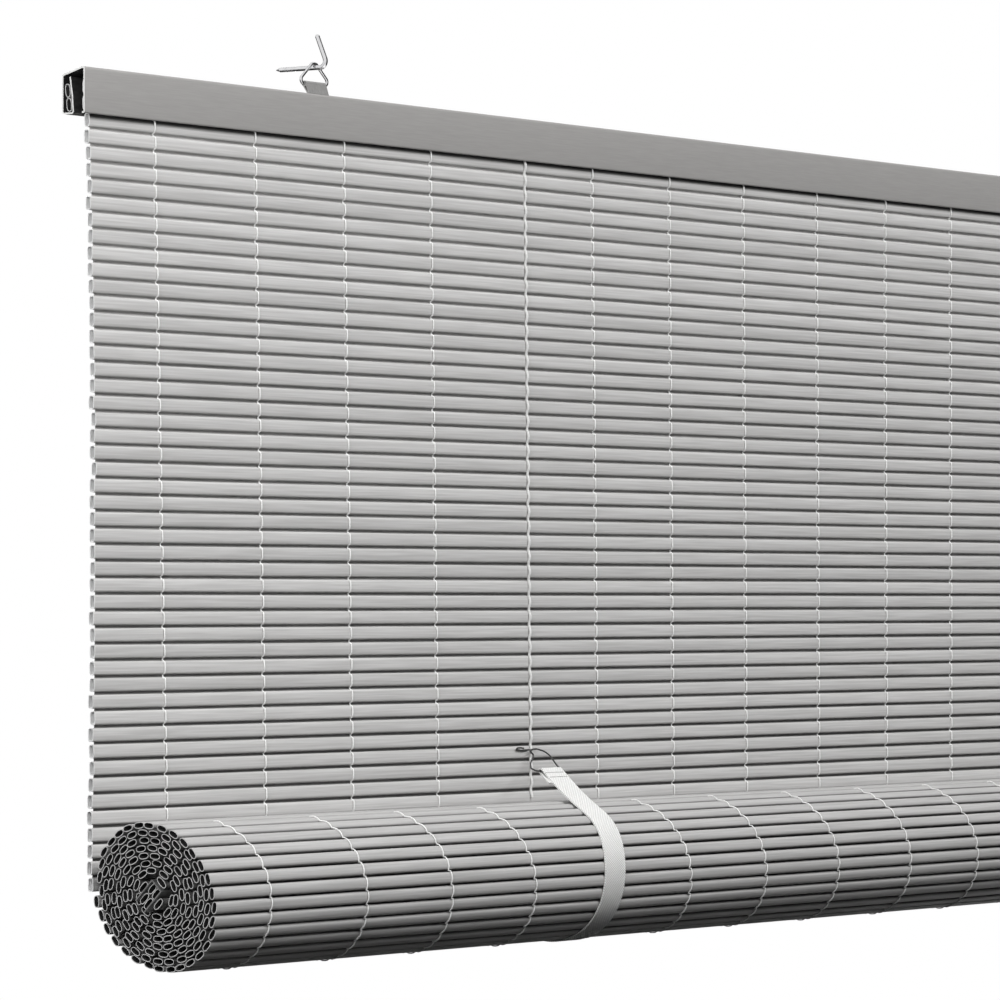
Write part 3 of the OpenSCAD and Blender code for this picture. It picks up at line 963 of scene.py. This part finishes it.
route = []
for i in range(down_steps + 1):
    z = strap_top + (axis_z - strap_top) * i / down_steps
    route.append((Vector((roll_y + strap_r, z)), 0))
for a in range(round_step, 181, round_step):
    route.append((on_circle(first_turn, strap_r, a), eased(a, under_drift)))
for i in range(1, front_steps + 1):
    a = 180 + (leave - 180) * i / front_steps
    route.append((on_circle(second_turn, outer_r, a), eased(a, front_drift)))
print("strap leaves the roll at", round(leave, 1), "degrees")

# %% Up to the link
loop_r, fold, fold_gap, slack = 1.35 * mm, 14 * mm, 1.0 * mm, 1.2 * mm
rise_steps, loop_steps, fold_steps = 16, 8, 7
away = route[-1][0]
run = (bar - away).normalized()
up = Vector((-run.y, run.x))


def slack_run(share):
    """A point of the slightly slack run from the roll to the top of the bar."""
    return away.lerp(bar + up * loop_r, share) - up * slack * math.sin(math.pi * share)


for i in range(1, rise_steps + 1):
    share = i / rise_steps
    route.append((slack_run(share), leave_drift + (bar_drift - leave_drift) * share))
for i in range(1, loop_steps + 1):
    t = math.pi * i / loop_steps
    route.append((bar + up * loop_r * math.cos(t) + run * loop_r * math.sin(t), bar_drift))
under_bar = route[-1][0]
for i in range(1, fold_steps + 1):
    share = i / fold_steps
    spot = under_bar - run * fold * share + up * fold_gap * share
    route.append((spot, bar_drift + (tail_drift - bar_drift) * share))
print("strap route:", len(route), "points")

# %% The ribbon
columns = 9


def make_strap(name, side):
    """A strap along the route, and its length when flat."""
    rows, flat, length = [], [], 0
    for i, (spot, drift) in enumerate(route):
        if i:
            length += (spot - route[i - 1][0]).length
        for j in range(columns):
            u = (j / (columns - 1) - 0.5) * strap_w
            rows.append((side * (strap_x - drift * mm) + u, spot.x, spot.y))
            flat.append((u, length))
    corners = [columns * i + j for i in range(len(route) - 1) for j in range(columns - 1)]
    faces = [(c, c + 1, c + 1 + columns, c + columns) for c in corners]
    mesh = bpy.data.meshes.new(name)
    mesh.from_pydata(rows, [], faces)
    layer = mesh.uv_layers.new(name="flat")
    for corner in mesh.loops:
        layer.data[corner.index].uv = flat[corner.vertex_index]
    strap = new_piece(name, mesh)
    mesh.materials.append(webbing)
    select_only(strap)
    thick = strap.modifiers.new("thick", "SOLIDIFY")
    thick.thickness = strap_t
    thick.offset = 0
    thick.use_even_offset = True
    bpy.ops.object.modifier_apply(modifier="thick")
    bpy.ops.object.shade_smooth_by_angle(angle=math.radians(40))
    return strap, length


print("ribbon:", len(route), "rows of", columns, "points")

# %% Straps and stitches
stitch_r, stitch_pitch, stitch_rows = 0.25 * mm, 2.3 * mm, (4.5 * mm, 9 * mm)
stitch_points = ((-0.9, -0.15), (-0.5, 0.12), (0.5, 0.12), (0.9, -0.15))


def make_stitches(name, side):
    """Two rows of stitches across the sewn end of a strap."""
    rows = []
    for back in stitch_rows:
        lift = slack_run(1 - back / (bar - away).length) + up * strap_t * 0.5
        for j in range(-4, 5):
            x = side * strap_x + j * stitch_pitch
            points = [(x + u * mm, *(lift + up * v * mm)) for u, v in stitch_points]
            rows.append(strand("stitch", points, stitch_r))
    as_mesh(rows)
    sewn = joined(rows, name)
    sewn.data.materials.append(stitch_thread)
    return sewn


for end, side in (("left", -1), ("right", 1)):
    strap, length = make_strap("strap_" + end + "_webbing", side)
    sewn = make_stitches("strap_" + end + "_stitches", side)
    for piece in (strap, sewn):
        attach(piece, "blind")
    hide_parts("strap_" + end)
    print(strap.name, "flat", round(strap_w, 4), "x", round(length, 4))

# %% [markdown]
# ## Wire links
# Each strap ends on a ring of springy wire, with a bar in the strap's loop and a hairpin
# end that is hooked behind the thick cord. A bent wire has no sharp corners, so it is a
# Bezier curve with automatic handles, which bends softly through a few points. Each point
# gives the way out from the cord in millimetres, and then its Y and Z.

# %% Wire links
link_r, hooked_slat, link_drop = 0.55 * mm, 40, 3.5 * mm
link_z = slat_z[hooked_slat] - hang_pitch / 2 - link_drop
front = mat_y - slat_t / 2
bar_out, half_bar = 20, strap_w / 2 / mm + 3.2
half_y, half_z = (front + bar.x) / 2, (link_z + bar.y) / 2


def smooth_wire(name, points, radius):
    """A wire with soft bends through the points, made a mesh."""
    curve = bpy.data.curves.new(name, "CURVE")
    curve.dimensions = "3D"
    curve.bevel_depth = radius
    curve.bevel_resolution = 2
    curve.resolution_u = 8
    curve.use_fill_caps = True
    line = curve.splines.new("BEZIER")
    line.bezier_points.add(len(points) - 1)
    for spot, place in zip(line.bezier_points, points):
        spot.co = place
        spot.handle_left_type = spot.handle_right_type = "AUTO"
    wire = new_piece(name, curve)
    as_mesh([wire])
    return wire


hairpin = [
    (9.5, front - 1.7 * mm, link_z + 1.2 * mm),
    (14, front - 1.6 * mm, link_z + 1.6 * mm),
    (16.5, front - 0.9 * mm, link_z + 0.9 * mm),
    (14, front - 0.6 * mm, link_z + 0.1 * mm),
    (5, front - 0.5 * mm, link_z),
    (0, front + 0.3 * mm, link_z),
    (-2.6, front - 1.6 * mm, link_z + 0.4 * mm),
]
inner_arm = [
    (0.3, front - 8 * mm, link_z + 0.2 * mm),
    (3.2, half_y - 3 * mm, half_z + 3.6 * mm),
    (4.6, bar.x + 3.5 * mm, bar.y + 2.6 * mm),
]
strap_bar = [
    (bar_out - half_bar - 0.3, bar.x, bar.y),
    (bar_out - half_bar + 1.5, bar.x, bar.y),
    (bar_out, bar.x, bar.y),
    (bar_out + half_bar - 1.5, bar.x, bar.y),
    (bar_out + half_bar + 0.3, bar.x + 0.2 * mm, bar.y + 0.3 * mm),
]
outer_arm = [
    (20, half_y, half_z - 2.6 * mm),
    (6, front - 7 * mm, link_z - 3 * mm),
    (2.8, front - 2.4 * mm, link_z - 0.4 * mm),
    (-1.0, front - 2.7 * mm, link_z + 0.5 * mm),
]
for end, side in (("left", -1), ("right", 1)):
    bends = hairpin + inner_arm + strap_bar + outer_arm
    points = [(side * (cord_x + out * mm), y, z) for out, y, z in bends]
    ring = smooth_wire("strap_link_" + end + "_wire", points, link_r)
    ring.data.materials.append(link_wire)
    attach(ring, "blind")
    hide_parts("strap_link_" + end)
    print(ring.name, len(ring.data.polygons), "faces")

# %% [markdown]
# ## Head rail
# The rail is one strip of sheet, painted grey outside, and its cut ends are bare. Its inside
# and both sides of its divider are black, which is painted shade for the shade in its hollow.
# Boxes could be joined for its walls, but a folded sheet has round bends and one thickness.
# So the strip is drawn as its folded section, with a small hem at the front wall's foot and a
# slightly bowed divider, and is pulled along its length. Solidify gives it its thickness, and
# a finish each for outside, inside and cut ends.

# %% Section of the rail
half_sheet, bend_r, top_slope, hem, hem_lift = 0.5 * mm, 1.3 * mm, 4.6 * mm, 1.7 * mm, 0.4 * mm
rail_face, rail_back = rail_low[1] + half_sheet, rail_high[1] - half_sheet
wall_foot, wall_top = rail_foot + half_sheet, rail_high[2] - half_sheet
divider_foot, divider_top = mat_y + 4.3 * mm - half_sheet, mat_y + 6.8 * mm - half_sheet
divider_bow, hem_reach, bend_reach = 0.5 * mm, 4 * mm, 1 * mm
bend_share = 0.45


def rounded(points, r, steps=4):
    """The points with every corner turned into a bend."""
    path = [points[0]]
    for a, b, c in zip(points, points[1:], points[2:]):
        in_way, out_way = a - b, c - b
        half = in_way.angle(out_way) / 2
        cut = min(r / math.tan(half), bend_share * min(in_way.length, out_way.length))
        p, q = b + in_way.normalized() * cut, b + out_way.normalized() * cut
        for i in range(steps + 1):
            t = i / steps
            path.append(p * (1 - t) ** 2 + b * 2 * t * (1 - t) + q * t * t)
    return path + [points[-1]]


section = [
    (rail_face + hem, wall_foot + hem_lift),
    (rail_face, wall_foot),
    (rail_face, wall_top),
    (rail_back, wall_top - top_slope),
    (rail_back, wall_foot),
    (divider_foot, wall_foot),
    ((divider_foot + divider_top) / 2 - divider_bow, (rail_foot + strap_top) / 2),
    (divider_top, strap_top),
]
path = rounded([Vector(v) for v in section], bend_r)
print("rail section:", len(path), "points")

# %% Head rail
rail_steps = 6
mesh = bpy.data.meshes.new("headrail_sheet")
edges = [(i, i + 1) for i in range(len(path) - 1)]
mesh.from_pydata([(rail_low[0], v.x, v.y) for v in path], edges, [])
rail = new_piece("headrail_sheet", mesh)
draw_out(rail, [(rail_high[0] - rail_low[0]) / rail_steps] * rail_steps)
front_face = min(rail.data.polygons, key=lambda f: f.center.y)
if front_face.normal.y > 0:
    rail.data.flip_normals()


def on_divider(spot):
    """Whether a spot of the sheet is on the divider, which has painted shade on both sides."""
    between = rail_face + hem_reach < spot.y < rail_back - bend_reach
    return between and rail_foot + bend_reach < spot.z < strap_top


# The second and third finishes are the black painted shade of the rail's inside.
for finish in (rail_paint, rail_painted_shade, rail_painted_shade, rail_edge):
    rail.data.materials.append(finish)
for face in rail.data.polygons:
    face.material_index = 1 if on_divider(face.center) else 0
sheet = rail.modifiers.new("sheet", "SOLIDIFY")
sheet.thickness = 2 * half_sheet
sheet.offset = 0
sheet.use_even_offset = True
sheet.material_offset = 1
sheet.material_offset_rim = 3
bpy.ops.object.modifier_apply(modifier="sheet")
bpy.ops.object.shade_smooth_by_angle(angle=math.radians(35))
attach(rail, "blind")
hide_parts("headrail")
print("rail:", len(rail.data.polygons), "faces")

# %% [markdown]
# ## Screw threads
# The part of each hook that sits in the wall has a wood-screw thread. A bump in the finish
# would not show at its edge, so it is a small ridge, wound round the shank by the Screw
# modifier.

# %% Screw threads
ridge_root, ridge_tip, ridge_w = 1.15 * mm, 1.55 * mm, 0.7 * mm
ridge_pitch, ridge_start, ridge_turns, ridge_steps = 1.3 * mm, 1 * mm, 9, 18
profile = [(0, 0, ridge_root), (0, ridge_w / 2, ridge_tip), (0, ridge_w, ridge_root)]
for end in ("left", "right"):
    low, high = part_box("wall_hook_" + end)
    x = (low[0] + high[0]) / 2
    mesh = bpy.data.meshes.new("ridge")
    mesh.from_pydata(profile, [(0, 1), (1, 2)], [])
    ridge = new_piece("hook_thread_" + end, mesh)
    select_only(ridge)
    wind = ridge.modifiers.new("wind", "SCREW")
    wind.axis = "Y"
    wind.screw_offset = ridge_pitch
    wind.iterations = ridge_turns
    wind.steps = wind.render_steps = ridge_steps
    bpy.ops.object.modifier_apply(modifier="wind")
    ridge.data.transform(Matrix.Translation((x, ridge_start, 0)))
    ridge.data.materials.append(wire_chrome)
    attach(ridge, "wall_hooks")
    print(ridge.name, [round(v, 4) for v in ridge.data.vertices[0].co])

# %% [markdown]
# ## Sizes of the result
# The box of the dressed blind is printed. It should agree with the box of the solids, or a
# piece stands out of the solid that it dresses.

# %% Sizes of the result
low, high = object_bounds()
print("visual box:", low, high)
